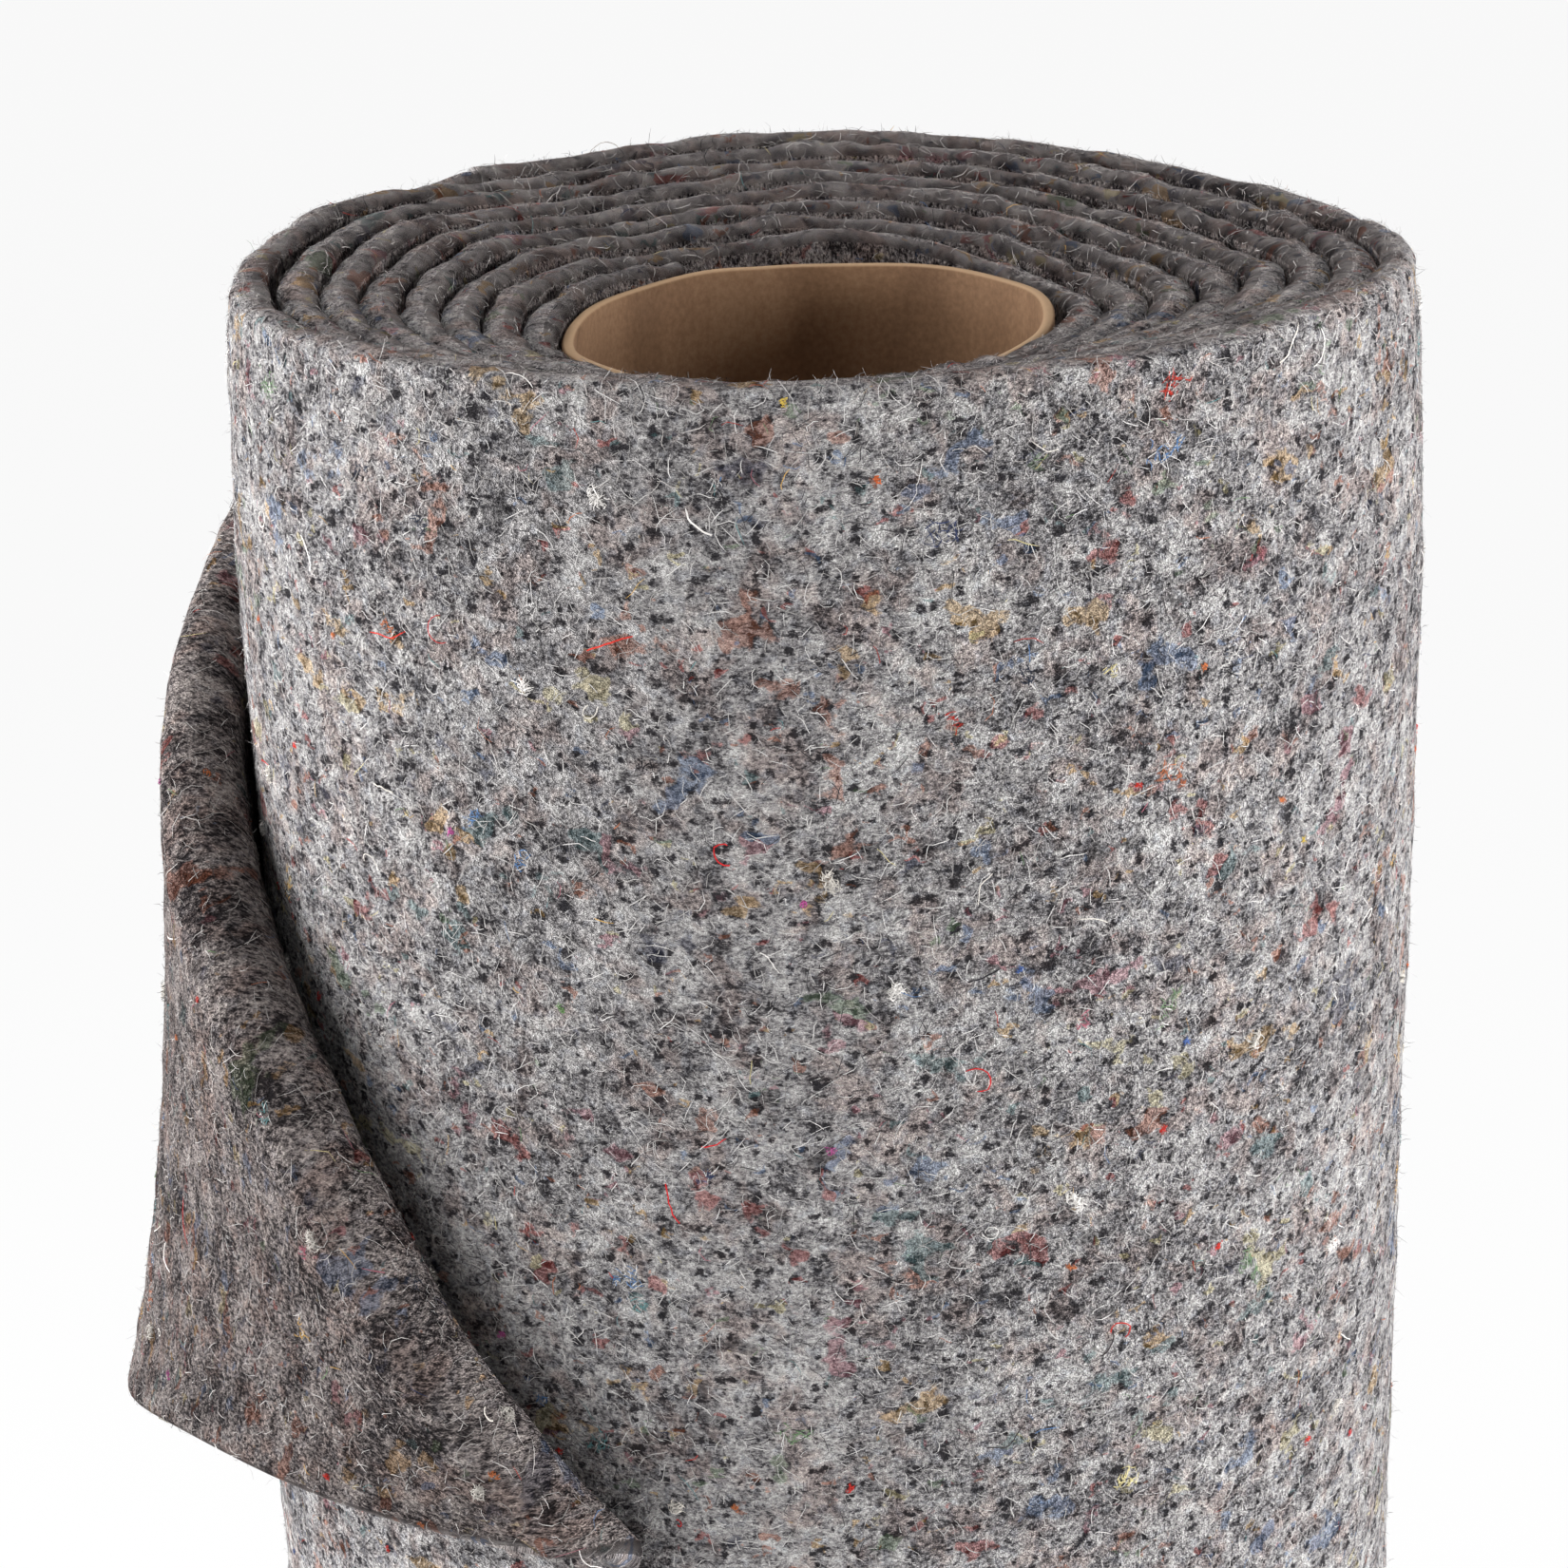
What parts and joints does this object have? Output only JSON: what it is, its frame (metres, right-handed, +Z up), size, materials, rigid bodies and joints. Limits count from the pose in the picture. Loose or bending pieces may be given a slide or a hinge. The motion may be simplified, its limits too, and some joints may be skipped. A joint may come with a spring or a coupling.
{
  "type": "roll of pond underlay felt",
  "caption": "Thick needle-punched recycled fibre felt wound on a crushed cardboard tube and stood on end, the top corner of its loose end folded out and hanging down",
  "frame": {"origin": "on the floor, under the middle of the whole in plan", "axes": "+Z up along the roll, +X to the roll's right and -Y to its front, as seen with the folded corner hanging on the left"},
  "size_m": [0.2108, 0.186, 1.0014],
  "materials": {
    "felt": "matt mottled grey recycled fibre felt, hairy",
    "cardboard": "matt brown kraft card"
  },
  "bodies": {
    "root": {"felt_roll": "felt", "loose_end": "felt", "cardboard_core": "cardboard"}
  },
  "joints": []
}
